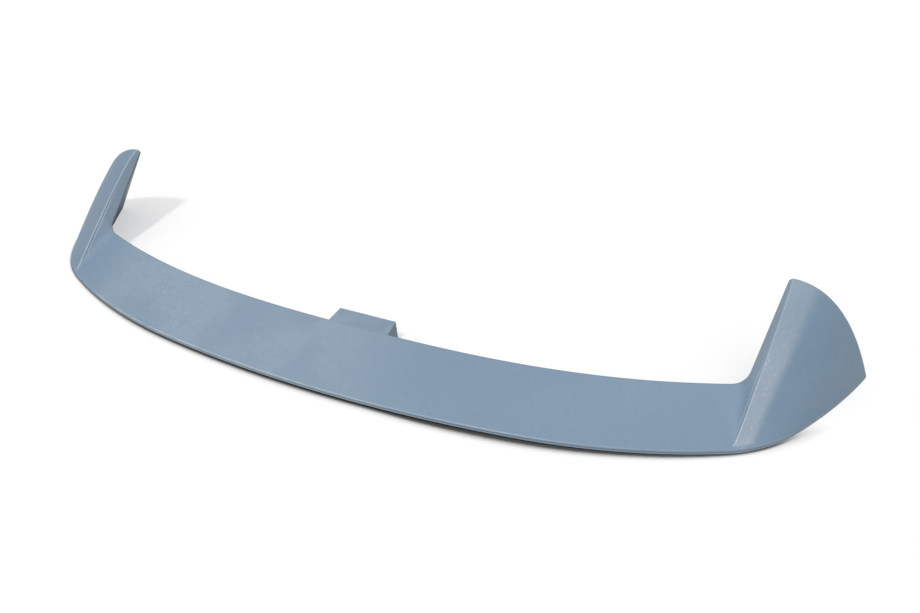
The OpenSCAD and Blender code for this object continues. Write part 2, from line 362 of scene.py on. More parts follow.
    def band(self, which: Band, t: Array) -> Array:
        """One strip of all the sections.

        Args:
            which: the strip.
            t: places across the strip, 0 to 1.

        Returns:
            Points by row and column.
        """
        t = np.asarray(t, float)[None, :, None]
        on_blade = (self.tau == 0)[:, None, None]
        if which is Band.NOSE:
            return mix(self.low[:, None], self.top[:, None], t)
        if which is Band.WALL:
            return mix(self.inner_edge[:, None], self.wall_low[:, None], t)
        if which is Band.SKIN:
            blade = self._blade(self.share * (1 - (1 - t) ** 2))
            wing = bezier(self.top[:, None], self.bulge[:, None], self.crease[:, None], t)
            return np.where(on_blade, blade, wing)
        blade = self._blade(mix(self.share, 1.0, t**2))
        fold = self.fold[:, None]
        wing = fold + (1 - t) ** self.hug * (self.crease[:, None] - fold)
        wing = wing + t**2 * (self.inner_edge[:, None] - fold)
        return np.where(on_blade, blade, wing)

    def joined(self, places: list[Array]) -> Array:
        """All the sections as one line each, at the given places across their strips."""
        strips = [self.band(b, t) for b, t in zip(Band, places)]
        return np.concatenate([strips[0]] + [s[:, 1:] for s in strips[1:]], 1)


@dataclass
class Shell:
    """Outer and inner skins of one half, as grids of points by row and column. Radii in millimetres."""

    sections: Sections
    nose_r: float = 1.6
    crease_r: float = 1.5
    rear_r: float = 2.2
    end_r: float = 1.3
    end_rows: int = 4
    most: float = 0.42
    dense: int = 260
    outer_cols: tuple[int, ...] = (3, 34, 34, 10)
    inner_cols: tuple[int, ...] = (3, 12, 12, 4)
    round_cols: int = 7
    crowding: float = 2.0

    @staticmethod
    def _steps(grid: Array) -> Array:
        """Steps along the rows, mirrored at the middle and one-sided at the far end.

        Args:
            grid: points by row and column.

        Returns:
            Step vectors of the same shape.
        """
        step = np.empty_like(grid)
        step[1:-1] = grid[2:] - grid[:-2]
        step[-1] = grid[-1] - grid[-2]
        step[0] = grid[1] - grid[1] * MIRROR
        return step

    def _quarter(self) -> Array:
        """Angles of the rows that round the far end, in radians."""
        return np.radians(np.linspace(0, 90, self.end_rows + 1))

    def outer(self) -> Array:
        """Outer skin with its corners rounded and the fold sunk into it.

        Returns:
            Points by row and column.
        """
        last = self.dense - 1
        line = self.sections.joined([np.linspace(0, 1, self.dense)] * len(Band))
        reached = np.stack([lengths(row) for row in line])
        marks = reached[:, ::last]
        face = slice(Band.FACE.value * last, Band.WALL.value * last + 1)
        deep = self.sections.fold_at(reached[:, face] - marks[:, Band.FACE.value, None])
        facing = unit(np.cross(self._steps(line), np.gradient(line, axis=1)))
        line[:, face] -= deep[:, :, None] * facing[:, face]
        spans = np.diff(marks, axis=1)
        radii = np.array([self.nose_r, self.crease_r, self.rear_r])
        taken = np.zeros_like(marks)
        taken[:, 1:-1] = np.minimum(radii, self.most * np.minimum(spans[:, :-1], spans[:, 1:]))
        return self._rounded_end(np.stack([self._row(*row) for row in zip(line, reached, marks, taken)]))

    def _row(self, line: Array, reached: Array, marks: Array, taken: Array) -> Array:
        """One section of the outer skin, its corners rounded.

        Args:
            line: dense points of the section.
            reached: their lengths along it.
            marks: lengths at the ends of its strips.
            taken: length that a rounding takes on either side of each mark.

        Returns:
            The points.
        """
        u = np.linspace(0, 1, self.round_cols + 1)[1:-1, None]
        pieces = []
        for i, n in enumerate(self.outer_cols):
            share = np.linspace(0, 1, n + 1) ** (self.crowding if i == Band.FACE.value else 1)
            pieces.append(along(line, reached, mix(marks[i] + taken[i], marks[i + 1] - taken[i + 1], share)))
            if i < Band.WALL.value:
                corner, after = along(line, reached, marks[i + 1] + np.array([0.0, taken[i + 1]]))
                pieces.append(bezier(pieces[-1][-1], corner, after, u))
        return np.concatenate(pieces)

    def _rounded_end(self, grid: Array) -> Array:
        """Rounds the outer skin into the flat of the far end.

        Args:
            grid: outer skin.

        Returns:
            The grid with the rows of the rounding added.
        """
        normal = unit(np.cross(self._steps(grid), np.gradient(grid, axis=1)))[-1]
        step = unit(grid[-1] - grid[-2])
        step = step / step[:, 1:2]
        flat = unit(normal - step * normal[:, 1:2])
        a = self._quarter()[:, None, None]
        rows = grid[-1] - step * self.end_r * (1 - np.sin(a)) - flat * self.end_r * (1 - np.cos(a))
        return np.concatenate([grid[:-1], rows])

    def inner(self) -> Array:
        """Inner skin: the section set in by the skin's thickness with mitred corners.

        Returns:
            Points by row and column, with as many rows as the outer skin.
        """
        f = self.sections.form
        nose, skin, face, wall = self.inner_cols
        grid = self.sections.joined([np.linspace(0, 1, n + 1) for n in self.inner_cols])
        steps = self._steps(grid)
        crease, edge, last = nose + skin, nose + skin + face, nose + skin + face + wall

        def facing(i: int, a: int, b: int) -> Array:
            """Unit normals by row, from the steps at column i and the way from column a to b."""
            return unit(np.cross(steps[:, i], grid[:, b] - grid[:, a]))

        def level(i: int, p: Array) -> Array:
            """Column i set in by one skin in the floor's plane, from the normals p."""
            h = p * (1 - UP)
            return grid[:, i] - f.skin * h / (h * h).sum(-1, keepdims=True)

        def mitre(i: int, p: Array, q: Array) -> Array:
            """Column i set one skin below two faces, from their normals p and q."""
            return grid[:, i] - f.skin * (p + q) / (1 + (p * q).sum(-1, keepdims=True))

        tau = self.sections.tau[:, None]
        back = f.ridge_setback * ease((tau - f.tau_mid) / (1 - f.tau_mid))
        low = level(0, facing(0, 0, 1))
        top = mitre(nose, facing(0, 0, 1), facing(nose, nose, nose + 1))
        ridge = mitre(crease, facing(crease, crease - 1, crease), facing(crease, crease, crease + 1))
        ridge = ridge + back * unit(grid[:, crease - 1] - grid[:, crease])
        rear = mitre(edge, facing(edge, edge - 1, edge), facing(edge, edge, edge + 1))
        rear = rear + back * unit(grid[:, last] - grid[:, edge])
        foot = level(last, facing(last, edge, last))
        out = np.empty_like(grid)
        for a, n, start, end in ((0, nose, low, top), (edge, wall, rear, foot)):
            for i in range(n + 1):
                out[:, a + i] = mix(start, end, i / n)
        for a, b, start, end in ((nose, crease, top, ridge), (crease, edge, ridge, rear)):
            off_start = start - grid[:, a] + f.skin * facing(a, a, a + 1)
            off_end = end - grid[:, b] + f.skin * facing(b, b - 1, b)
            for i in range(a + 1, b):
                off = grid[:, i, None] - grid[:, [a, b]]
                from_a, from_b = np.linalg.norm(off, axis=-1).T[:, :, None]
                moved = mix(off_start, off_end, from_a / (from_a + from_b))
                out[:, i] = grid[:, i] - f.skin * facing(i, i - 1, i + 1) + moved
            out[:, b] = end
        slide = steps[-1] / steps[-1][:, 1:2]
        out[-1] = out[-1] + slide * (f.depth - out[-1][:, 1:2])
        step = unit(out[-1] - out[-2])
        step = step / step[:, 1:2]
        tail = out[-1] - step * self.end_r * (1 - np.sin(self._quarter()[:, None, None]))
        return np.concatenate([out[:-1], tail])


def placed(name: str, data: bpy.types.ID) -> Object:
    """Makes an object and links it to the scene.

    Args:
        name: object name.
        data: its mesh, camera or lamp.

    Returns:
        The object.
    """
    obj = bpy.data.objects.new(name, data)
    bpy.context.scene.collection.objects.link(obj)
    return obj


def mesh_object(name: str, points: Array, faces: Faces, shift_y: float) -> Object:
    """Makes an object from points in the millimetres of the sections.

    Args:
        name: object name.
        points: its points.
        faces: its faces, by index into points.
        shift_y: millimetres taken off Y to reach the part's frame.

    Returns:
        The object.
    """
    mesh = bpy.data.meshes.new(name)
    mesh.from_pydata(((points - np.array([0.0, shift_y, 0.0])) * MM).tolist(), [], faces)
    mesh.validate()
    mesh.update()
    return placed(name, mesh)


def join(obj: Object, how: Using, other: Object) -> None:
    """Adds or cuts away another object.

    Args:
        obj: the object that stays, whose mesh is replaced.
        how: whether the other is added or cut away.
        other: the object that is used up.
    """
    step = obj.modifiers.new("join", "BOOLEAN")
    step.operation, step.object, step.solver = how.value, other, "EXACT"
    bake(obj)
    bpy.data.objects.remove(other)


def bake(obj: Object) -> None:
    """Applies the modifiers of an object.

    Args:
        obj: the object, whose mesh is replaced.
    """
    bpy.context.view_layer.update()
    graph = bpy.context.evaluated_depsgraph_get()
    made = bpy.data.meshes.new_from_object(obj.evaluated_get(graph))
    obj.modifiers.clear()
    obj.data = made


@dataclass(frozen=True)
class Tongue:
    """The locating tongue: a box open below and towards the blade. Millimetres and degrees."""

    form: Form = Form()
    width: float = 86.0
    end_width: float = 82.0
    length: float = 26.5
    rise: float = 2.4
    drop: float = 25.0
    draft: float = 5.0
    step: float = 0.4
    rounding: float = 1.5
    bevel_rows: int = 4
    bevel_from: float = 30.0
    into_skin: float = 0.75
    overcut: float = 1.0

    def _half(self, y: float, z: float, top: float) -> float:
        """Half width at y behind the blade and height z, where top is the tongue's height at the blade."""
        taper = (self.width - self.end_width) / 2 / self.length
        return self.width / 2 - taper * y + (top - z) * math.tan(math.radians(self.draft))

    def _block(self, name: str, front: float, rear: float, low: float, wall: float) -> Object:
        """A flat-sided block with the tongue's draft.

        Args:
            name: object name.
            front: its front, from the blade's rear edge.
            rear: its rear.
            low: height of its bottom.
            wall: how far it is set in from the tongue's outside.

        Returns:
            The object.
        """
        top = self.form.rear_h - self.step
        points = []
        for y in (front, rear):
            high = top + self.rise / self.length * y - wall
            for z, side in ((low, -1), (low, 1), (high, 1), (high, -1)):
                points.append([side * (self._half(y, z, top) - wall), y + self.form.blade_depth, z])
        faces = [(0, 1, 2, 3), (7, 6, 5, 4), (0, 4, 5, 1), (1, 5, 6, 2), (2, 6, 7, 3), (3, 7, 4, 0)]
        return mesh_object(name, np.array(points), faces, self.form.depth / 2)

    def build(self) -> Object:
        """Builds the tongue with its edges softened.

        Returns:
            The object.
        """
        low = self.form.rear_h - self.step - self.drop
        front, wall = -self.into_skin * self.form.skin, self.form.skin
        box = self._block("spoiler_tongue", front, self.length, low, 0.0)
        over = self.overcut
        hollow = self._block("tongue_hollow", front - over, self.length - wall, low - over, wall)
        join(box, Using.CUT, hollow)
        soft = box.modifiers.new("soft_edges", "BEVEL")
        soft.width, soft.segments, soft.limit_method = self.rounding * MM, self.bevel_rows, "ANGLE"
        soft.angle_limit = math.radians(self.bevel_from)
        bake(box)
        return box


@dataclass(frozen=True)
class WearAndLightMap:
    """Distances in millimetres from the lines where the material paints wear, painted highlights and painted
    shade, kept on the mesh for the material to read.
    """

    form: Form = Form()
    step: float = 0.5
    far: float = 200.0
    unsure: float = 4.0
    samples: int = 30
    beside: float = 0.1
    left_reach: float = 5.0
    right_reach: Span = (22.0, 42.0)

    def _dense(self, line: Array) -> Array:
        """Resamples a line at even steps. Its first three columns are places."""
        reached = lengths(line[:, :3])
        return along(line, reached, np.arange(0.0, reached[-1], self.step))

    @staticmethod
    def _nearest(line: Array, points: Array) -> Array:
        """Index of the nearest point of a line.

        Args:
            line: points of the line.
            points: points to look from.

        Returns:
            One index for each point.
        """
        tree = KDTree(len(line))
        for i, p in enumerate(line):
            tree.insert(p, i)
        tree.balance()
        return np.array([tree.find(p)[1] for p in points])

    def _strips(self, sections: Sections, points: Array) -> Array:
        """Which strip of the section each point lies on or under, with all of the blade's top as FACE.

        Args:
            sections: the moulding's sections.
            points: points of one side.

        Returns:
            The value of a Band for each point.
        """
        grids = [sections.band(b, np.linspace(0, 1, self.samples)).reshape(-1, 3) for b in Band]
        tags = [np.where(sections.tau > 0, b.value, max(b.value, Band.FACE.value)) for b in Band]
        return np.repeat(np.concatenate(tags), self.samples)[self._nearest(np.concatenate(grids), points)]

    def _from_crease(self, sections: Sections, points: Array) -> Array:
        """Distances from the winglets' creases, negative on the inner side, and far on the rear walls.

        Args:
            sections: the moulding's sections.
            points: points of one side.

        Returns:
            One distance for each point.
        """
        wing = sections.tau > 0
        start = sections.crease[wing]
        out = sections.band(Band.SKIN, np.array([1 - self.beside]))[wing, 0] - start
        back = sections.band(Band.FACE, np.array([self.beside]))[wing, 0] - start
        crease = self._dense(np.concatenate([start, unit(out), unit(back)], 1))
        crease = crease[self._nearest(crease[:, :3], points)]
        away = points - crease[:, :3]
        near = np.linalg.norm(away, axis=1)
        clear = near > self.unsure
        strip = self._strips(sections, points)
        leaning_out = (away * crease[:, 3:6]).sum(1) > (away * crease[:, 6:]).sum(1)
        outside = np.where(clear, strip <= Band.SKIN.value, leaning_out)
        near = np.where(clear & (strip == Band.WALL.value), self.far, np.minimum(near, self.far))
        return np.where(outside, near, -near)

    def apply(self, obj: Object) -> None:
        """Stores the distances as attributes of the mesh.

        Args:
            obj: the moulding.
        """
        sections = Sections(self.form)
        points = np.empty(len(obj.data.vertices) * 3)
        obj.data.vertices.foreach_get("co", points)
        points = points.reshape(-1, 3) / MM + np.array([0.0, self.form.depth / 2, 0.0])
        left = points[:, 0] < 0
        points[:, 0] = np.abs(points[:, 0])
        # Reach of the pale band beside the crease, painted highlight with wear: wide on the right winglet's
        # outer face, narrow on the left.
        reach = np.where(left, self.left_reach, mix(*self.right_reach, points[:, 2] / self.form.tip_h))
        crease = self._from_crease(sections, points)
        values = {"crease_mm": crease, "rub_and_sheen": crease / reach}
        edges = {"front_mm": sections.top, "rear_mm": sections.inner_edge, "foot_mm": sections.low}
        for name, edge in edges.items():
            line = self._dense(edge)
            values[name] = np.linalg.norm(points - line[self._nearest(line, points)], axis=1)
        for name, value in values.items():
            kept = obj.data.attributes.new(name, "FLOAT", "POINT")
            kept.data.foreach_set("value", value.astype(np.float32))


@dataclass(frozen=True)
class Grain:
    """A noise pattern as a mask: its fineness, and the range that is spread from 0 to 1."""

    scale: float
    low: float
    high: float
    detail: float = 2.0
    roughness: float = 0.5
    distortion: float = 0.0


@dataclass(frozen=True)
class Gelcoat:
    """Satin blue-grey gelcoat: its colours and gloss, how much it is worn, where it carries painted
    highlights and painted shade, and where.
    """

    base: Triple = (0.168, 0.25, 0.342)
    # Pale colour of wear and of painted highlights.
    pale: Triple = (0.42, 0.48, 0.54)
    deep: Triple = (0.148, 0.228, 0.322)
    # Dark colour of the rear edge: bare laminate of the trimmed edge, and painted shade on its rounding.
    laminate_and_shade: Triple = (0.09, 0.095, 0.1)
    specular: float = 0.6
    roughness: float = 0.36
    coat: float = 0.1
    coat_roughness: float = 0.16
    broad_clouds: float = 0.45
    middle_clouds: float = 0.35
    strokes: float = 0.36
    specks: float = 0.3
    patches: float = 0.1
    haze: float = 0.14
    faint: float = 0.04
    # Pale band beside the crease: painted highlight with wear in it.
    rub_and_sheen: float = 0.44
    speckled: float = 0.45
    # Painted light: the winglets' inner faces are made paler.
    inner_face_painted_light: float = 0.24
    # Pale line on the crease: painted highlight on its rounding, with wear.
    crease: float = 0.28
    # Pale line on the front edge's rounding: painted highlight with wear, weaker on the right.
    front_highlight_and_wear: float = 0.7
    # Pale line at the foot of the front edge's face: painted highlight.
    foot_highlight: float = 0.6
    rear_cut_and_shade: float = 0.75
    scuffed_right: float = 0.15
    marked_right: float = 0.25
    line_right: float = 0.25
    # Share of the painted highlight and wear band that is left at the top.
    rub_and_sheen_high: float = 0.5
    speckled_high: float = 0.15
    patchy: float = 0.5
    crease_mm: Span = (0.4, 1.5)
    front_mm: Span = (0.8, 1.9)
    foot_mm: Span = (0.6, 1.8)
    cut_and_shade_mm: Span = (0.9, 1.8)
    off_front_mm: Span = (2.0, 6.0)
    off_wall_mm: Span = (-90.0, -70.0)
    scuffed: Span = (-0.04, 0.14)
    marked: Span = (-0.14, 0.0)
    rising: Span = (0.05, 0.1)
    off_blade: Span = (0.034, 0.055)
    off_winglet: Span = (-0.47, -0.34)
    off_tongue: Span = (0.042, 0.0435)


class NodeKit:
    """Short hands for building node trees."""

    def __init__(self, tree: Tree) -> None:
        """Wraps a tree."""
        self.tree = tree

    def add(self, kind: str, **values: object) -> Node:
        """Adds a node and sets its properties.

        Args:
            kind: node type.
            values: properties to set.

        Returns:
            The node.
        """
        node = self.tree.nodes.new(kind)
        for key, value in values.items():
            setattr(node, key, value)
        return node

    def put(self, value: object, socket: Socket) -> None:
        """Links an output to an input, or sets the input to a value.

        Args:
            value: an output socket or a value.
            socket: the input.
        """
        if isinstance(value, Socket):
            self.tree.links.new(value, socket)
        else:
            socket.default_value = value

    def dial(self, node: Node, **values: object) -> Node:
        """Sets or links inputs of a node.

        Args:
            node: the node.
            values: what goes into each input, whose name has _ for a space.

        Returns:
            The node.
        """
        for name, value in values.items():
            self.put(value, node.inputs[name.replace("_", " ")])
        return node

    def fact(self, name: str) -> Socket:
        """Reads an attribute of the mesh."""
        return self.add("ShaderNodeAttribute", attribute_name=name).outputs["Fac"]

    def split(self, vector: Socket) -> list[Socket]:
        """Splits a vector into X, Y and Z."""
        return list(self.dial(self.add("ShaderNodeSeparateXYZ"), Vector=vector).outputs)

    def math(self, operation: str, a: object, b: object = 0.0) -> Socket:
        """Adds a math node.

        Args:
            operation: its operation.
            a: first input, a socket or a number.
            b: second input.

        Returns:
            The output socket.
        """
        node = self.add("ShaderNodeMath", operation=operation)
        self.put(a, node.inputs[0])
        self.put(b, node.inputs[1])
        return node.outputs[0]

    def times(self, mask: Socket, *others: object) -> Socket:
        """Multiplies masks.

        Args:
            mask: the first mask.
            others: masks or numbers.

        Returns:
            The product.
        """
        for other in others:
            mask = self.math("MULTIPLY", mask, other)
        return mask

    def weigh(self, *parts: tuple[Socket, float]) -> Socket:
        """Adds up masks.

        Args:
            parts: masks and their weights.

        Returns:
            The sum.
        """
        total: object = 0.0
        for mask, weight in parts:
            total = self.math("ADD", self.times(mask, weight), total)
        return total

    def ramp(self, value: Socket, low: float, high: float) -> Socket:
        """Maps the range from low to high smoothly to 0 to 1."""
        node = self.add("ShaderNodeMapRange", interpolation_type="SMOOTHSTEP")
        return self.dial(node, Value=value, From_Min=low, From_Max=high).outputs["Result"]

    def fall(self, value: Socket, low: float, high: float) -> Socket:
        """Maps the range from low to high smoothly to 1 to 0."""
        return self.math("SUBTRACT", 1.0, self.ramp(value, low, high))

    def blend(self, value: Socket, low: float, high: float) -> Socket:
        """Maps 0 to 1 to the range from low to high."""
        return self.math("ADD", self.times(value, high - low), low)

    def mix(self, kind: Kind, factor: Socket, a: object, b: object) -> Socket:
        """Blends a, at factor 0, into b, at factor 1."""
        node = self.add("ShaderNodeMix", data_type=kind.value)
        return self.dial(node, Factor=factor, A=a, B=b).outputs["Result"]

    def grain(self, vector: Socket, grain: Grain) -> Socket:
        """Adds a noise and spreads it into a mask.

        Args:
            vector: where it is read.
            grain: the pattern.

        Returns:
            The mask.
        """
        node = self.dial(
            self.add("ShaderNodeTexNoise"),
            Vector=vector,
            Scale=grain.scale,
            Detail=grain.detail,
            Roughness=grain.roughness,
            Distortion=grain.distortion,
        )
        return self.ramp(node.outputs["Fac"], grain.low, grain.high)


@dataclass(frozen=True)
class GroupLibrary:
    """Shader node groups that the material uses. Strokes give a turn in radians and two scales."""

    broad: Grain = Grain(7.0, 0.36, 0.64, 3.0, 0.62)
    middle: Grain = Grain(42.0, 0.36, 0.68, 5.0, 0.62)
    fine: Grain = Grain(190.0, 0.4, 0.7, 4.0, 0.62)
    stroke: Grain = Grain(1.0, 0.64, 0.8, 1.0, distortion=0.4)
    strokes: tuple[Triple, ...] = ((0.25, 130.0, 520.0), (1.5, 170.0, 480.0), (2.45, 150.0, 560.0))
    scuff_patch: Grain = Grain(9.0, 0.32, 0.56, 3.0)
    speck: Grain = Grain(330.0, 0.66, 0.78, 1.0)
    rub_grain: Grain = Grain(300.0, 0.52, 0.68, 3.0, 0.7)
    rub_patch: Grain = Grain(55.0, 0.36, 0.56)
    # Where the band of painted highlight and wear starts and how it fades.
    rub_and_sheen_from: float = -0.04
    rub_and_sheen_fade: Span = (0.5, 1.0)

    @staticmethod
    def _start(name: str, inputs: tuple[str, ...], outputs: tuple[str, ...]) -> tuple:
        """Starts a group that reads a vector and numbers, and puts out masks.

        Args:
            name: group name.
            inputs: names of the numbers.
            outputs: names of the masks.

        Returns:
            The group, its kit, its input node and its output node.
        """
        group = bpy.data.node_groups.new(name, "ShaderNodeTree")
        group.interface.new_socket(name="Vector", in_out="INPUT", socket_type="NodeSocketVector")
        for way, names in (("INPUT", inputs), ("OUTPUT", outputs)):
            for key in names:
                group.interface.new_socket(name=key, in_out=way, socket_type="NodeSocketFloat")
        kit = NodeKit(group)
        return group, kit, kit.add("NodeGroupInput"), kit.add("NodeGroupOutput")

    def mottle(self) -> Tree:
        """Cloudy unevenness of the gelcoat.

        Returns:
            A group that puts out a broad mask, a middling one and a fine one.
        """
        names = ("Broad", "Middle", "Fine")
        group, kit, begin, end = self._start("GelcoatMottle", (), names)
        for name in names:
            kit.put(kit.grain(begin.outputs["Vector"], getattr(self, name.lower())), end.inputs[name])
        return group

    def _layer(self, kit: NodeKit, vector: Socket, turn: float, lengthwise: float, across: float) -> Socket:
        """Strokes in one direction.

        Args:
            kit: the group's kit.
            vector: where the strokes are read.
            turn: their direction.
            lengthwise: their scale lengthwise.
            across: their scale across.

        Returns:
            Their mask.
        """
        rotate = kit.add("ShaderNodeVectorRotate", rotation_type="Z_AXIS")
        turned = kit.dial(rotate, Vector=vector, Angle=turn).outputs["Vector"]
        stretch = kit.dial(kit.add("ShaderNodeMapping"), Vector=turned, Scale=(lengthwise, across, across))
        return kit.grain(stretch.outputs["Vector"], self.stroke)

    def scuffs(self) -> Tree:
        """Short pale scuffs and specks in patches.

        Returns:
            A group that puts out the strokes, the specks and the patches.
        """
        group, kit, begin, end = self._start("FineScuffs", (), ("Strokes", "Specks", "Patches"))
        vector = begin.outputs["Vector"]
        strokes: object = 0.0
        for stroke in self.strokes:
            strokes = kit.math("MAXIMUM", self._layer(kit, vector, *stroke), strokes)
        worn = kit.grain(vector, self.scuff_patch)
        kit.put(worn, end.inputs["Patches"])
        kit.put(kit.times(strokes, worn), end.inputs["Strokes"])
        kit.put(kit.times(kit.grain(vector, self.speck), worn), end.inputs["Specks"])
        return group

    def rub_and_sheen_line(self) -> Tree:
        """Pale band on one side of a line, strongest at the line: painted highlight with wear, and speckled
        wear in it.

        Returns:
            A group that reads the distance from the line, 1 where the band ends, and puts out the band of
            painted highlight and wear, and the speckle of wear in it.
        """
        group, kit, begin, end = self._start("RubAndSheenLine", ("Near",), ("Band", "Speckle"))
        vector, near = begin.outputs["Vector"], begin.outputs["Near"]
        band = kit.times(kit.fall(near, *self.rub_and_sheen_fade), kit.math("GREATER_THAN", near, self.rub_and_sheen_from))
        kit.put(band, end.inputs["Band"])
        speckle = kit.times(band, kit.grain(vector, self.rub_grain), kit.grain(vector, self.rub_patch))
        kit.put(speckle, end.inputs["Speckle"])
        return group


@dataclass(frozen=True)
class GelcoatMaterial:
    """Material of the moulding."""

    look: Gelcoat = Gelcoat()
    groups: GroupLibrary = GroupLibrary()

    def _wear_and_painted_light(self, kit: NodeKit, place: Socket, mottle: Node) -> Socket:
        """How much the gelcoat is worn, together with painted highlights and the painted light on the inner
        faces.

        Args:
            kit: the material's kit.
            place: the surface's own coordinates.
            mottle: the placed mottle group.

        Returns:
            A mask.
        """
        look = self.look
        scuffs = kit.dial(kit.add("ShaderNodeGroup", node_tree=self.groups.scuffs()), Vector=place)
        rub_and_sheen_line = kit.add("ShaderNodeGroup", node_tree=self.groups.rub_and_sheen_line())
        kit.dial(rub_and_sheen_line, Vector=place, Near=kit.fact("rub_and_sheen"))
        crease, front = kit.fact("crease_mm"), kit.fact("front_mm")
        x, _, z = kit.split(place)
        patchy = kit.blend(mottle.outputs["Middle"], look.patchy, 1.0)
        marked = kit.blend(kit.ramp(x, *look.marked), 1.0, look.marked_right)
        scuffed = kit.weigh(
            (kit.times(scuffs.outputs["Strokes"], marked), look.strokes),
            (kit.times(scuffs.outputs["Specks"], marked), look.specks),
            (scuffs.outputs["Patches"], look.patches),
            (patchy, look.haze),
        )
        leftward = kit.blend(kit.ramp(x, *look.scuffed), 1.0, look.scuffed_right)
        leftward = kit.times(leftward, kit.ramp(x, *look.off_winglet))
        up = kit.ramp(z, *look.rising)
        # Painted light: the winglets' inner faces, off the blade and off the rear walls, are made paler.
        lit_inner_face = kit.times(kit.ramp(z, *look.off_blade), kit.ramp(crease, *look.off_wall_mm))
        # Pale line on the front edge's rounding: painted highlight with wear, weaker on the right.
        front_highlight_and_wear = kit.times(kit.fall(front, *look.front_mm), kit.blend(leftward, look.line_right, 1.0))
        # Pale band beside the crease: painted highlight with wear, fainter higher up.
        rub_and_sheen = kit.times(rub_and_sheen_line.outputs["Band"], kit.blend(up, 1.0, look.rub_and_sheen_high))
        return kit.weigh(
            (kit.times(scuffed, leftward), 1.0),
            (mottle.outputs["Fine"], look.faint),
            (kit.times(rub_and_sheen, kit.ramp(front, *look.off_front_mm)), look.rub_and_sheen),
            (kit.times(rub_and_sheen_line.outputs["Speckle"], kit.blend(up, 1.0, look.speckled_high)), look.speckled),
            (kit.times(lit_inner_face, kit.math("LESS_THAN", crease, -look.crease_mm[1])), look.inner_face_painted_light),
            # Pale line on the crease: painted highlight on its rounding, with wear.
            (kit.fall(kit.math("ABSOLUTE", crease), *look.crease_mm), look.crease),
            (kit.times(front_highlight_and_wear, patchy), look.front_highlight_and_wear),
            # Pale line at the foot of the front edge's face: painted highlight.
            (kit.fall(kit.fact("foot_mm"), *look.foot_mm), look.foot_highlight),
        )

    def build(self) -> bpy.types.Material:
        """Makes the material.

        Returns:
            The material.
        """
        look = self.look
        material = bpy.data.materials.new("gelcoat")
        material.use_nodes = True
        kit = NodeKit(material.node_tree)
        shader = material.node_tree.nodes["Principled BSDF"]
        place = kit.add("ShaderNodeTexCoord").outputs["Object"]
        mottle = kit.dial(kit.add("ShaderNodeGroup", node_tree=self.groups.mottle()), Vector=place)
        clouds = kit.weigh(
            (mottle.outputs["Broad"], look.broad_clouds),
            (mottle.outputs["Middle"], look.middle_clouds),
        )
        colour = kit.mix(Kind.COLOUR, clouds, (*look.base, 1.0), (*look.deep, 1.0))
        # One mask of wear and painted highlights, mixed towards the pale colour.
        wear = kit.math("MINIMUM", self._wear_and_painted_light(kit, place, mottle), 1.0)
        colour = kit.mix(Kind.COLOUR, wear, colour, (*look.pale, 1.0))
        beyond = kit.ramp(kit.math("ABSOLUTE", kit.split(place)[0]), *look.off_tongue)
        # Dark line along the blade's rear edge, off the tongue: painted shade with the trimmed laminate
        # edge.
        cut = kit.times(kit.fall(kit.fact("rear_mm"), *look.cut_and_shade_mm), beyond, look.rear_cut_and_shade)
        kit.dial(
            shader,
            Base_Color=kit.mix(Kind.COLOUR, cut, colour, (*look.laminate_and_shade, 1.0)),
            Specular_IOR_Level=look.specular,
            Roughness=look.roughness,
            Coat_Weight=look.coat,
            Coat_Roughness=look.coat_roughness,
        )
        return material


@dataclass
class Moulding:
    """The whole moulding: the two mirrored halves of the shell, and the tongue joined to them."""

    form: Form = Form()
    sharp_deg: float = 32.0

    def _shell(self) -> Object:
        """Builds the shell.

        Returns:
            A closed mesh object.
        """
        maker = Shell(Sections(self.form))
        half = np.concatenate([maker.outer(), maker.inner()[:, ::-1]], 1)
        rings = np.concatenate([half[:0:-1] * MIRROR, half])
        rows, ring = rings.shape[:2]
        faces: Faces = []
        for a in range(0, (rows - 1) * ring, ring):
            b = a + ring
            faces += [(a + k, b + k, b + (k + 1) % ring, a + (k + 1) % ring) for k in range(ring)]
        faces += [tuple(range(ring)), tuple(range(rows * ring - 1, (rows - 1) * ring - 1, -1))]
        log.info("shell: %d rows of %d points", rows, ring)
        return mesh_object("spoiler_moulding", rings.reshape(-1, 3), faces, self.form.depth / 2)

    def build(self) -> Object:
        """Builds the moulding as one mesh.

        Returns:
            The object.
        """
        moulding = self._shell()
        join(moulding, Using.ADD, Tongue(self.form).build())
        mesh = moulding.data
        mesh.polygons.foreach_set("use_smooth", [True] * len(mesh.polygons))
        mesh.set_sharp_from_angle(angle=math.radians(self.sharp_deg))
        log.info("moulding: %d faces", len(mesh.polygons))
        return moulding

    def dress(self, moulding: Object) -> None:
        """Gives the moulding its wear, painted highlights and painted shade, and its finish.

        Args:
            moulding: the built object.
        """
        WearAndLightMap(self.form).apply(moulding)
        moulding.data.materials.clear()
        moulding.data.materials.append(GelcoatMaterial().build())


@dataclass(frozen=True)
class PhotoCamera:
    """The camera of the photograph, fitted to its outlines. In mm, degrees and pixels."""

    place: Triple = (426.3, -567.7, 597.0)
    down: float = 34.38
    swing: float = 22.95
    focal_px: float = 766.2
    width_px: float = 920.0
    sensor: float = 36.0
    clip_m: Span = (0.05, 50.0)

    def build(self, shift_y: float) -> None:
        """Makes the camera and sets it as the scene's.

        Args:
            shift_y: millimetres taken off Y to reach the part's frame.
        """
        data = bpy.data.cameras.new("photo_camera")
        data.sensor_width = self.sensor
        data.lens = self.focal_px / self.width_px * self.sensor
        data.clip_start, data.clip_end = self.clip_m
        obj = placed("photo_camera", data)
        obj.location = (Vector(self.place) - Vector((0, shift_y, 0))) * MM
        obj.rotation_euler = (math.radians(90 - self.down), 0, math.radians(self.swing))
        bpy.context.scene.camera = obj


